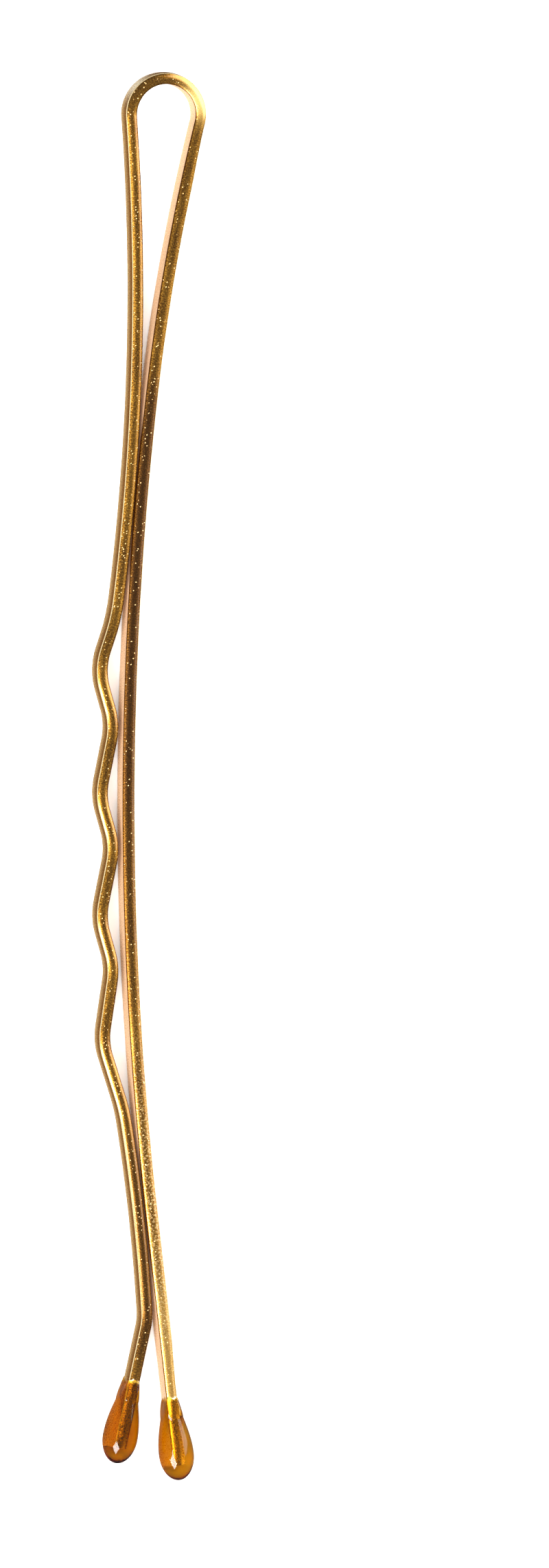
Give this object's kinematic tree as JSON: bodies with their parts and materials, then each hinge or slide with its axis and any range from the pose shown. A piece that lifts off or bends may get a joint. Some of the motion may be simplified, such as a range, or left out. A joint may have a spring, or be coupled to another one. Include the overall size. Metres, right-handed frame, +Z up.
{
  "type": "bobby pin",
  "caption": "Flat gold spring wire folded at a round bow into a bowed straight leg and a crimped leg that grip hair between them, each leg ending in a dipped amber tip.",
  "frame": {"origin": "under the middle of the pin, on the surface that it lies on", "axes": "+Y along the pin towards the bow, +X towards the straight leg's side of the bow, +Z up, square to the plane in which the wire is bent"},
  "size_m": [0.0048, 0.06, 0.0015],
  "materials": {
    "gold_lacquer": "satin",
    "amber_epoxy": "gloss"
  },
  "bodies": {
    "straight_half": {"straight_leg": "gold_lacquer", "spring_bow": "gold_lacquer", "straight_leg_tip": "amber_epoxy"},
    "crimped_half": {"crimped_leg": "gold_lacquer", "crimped_leg_tip": "amber_epoxy"}
  },
  "joints": [
    {"name": "leg_spring", "type": "hinge", "parent": "straight_half", "child": "crimped_half", "pos_m": [0.00072, 0.02906, 0.00075], "axis": [0, 0, -1], "range_deg": [0, 10], "stiffness_Nm_per_rad": 0.15, "springref_deg": -5.73, "deforming": ["spring_bow"]}
  ]
}
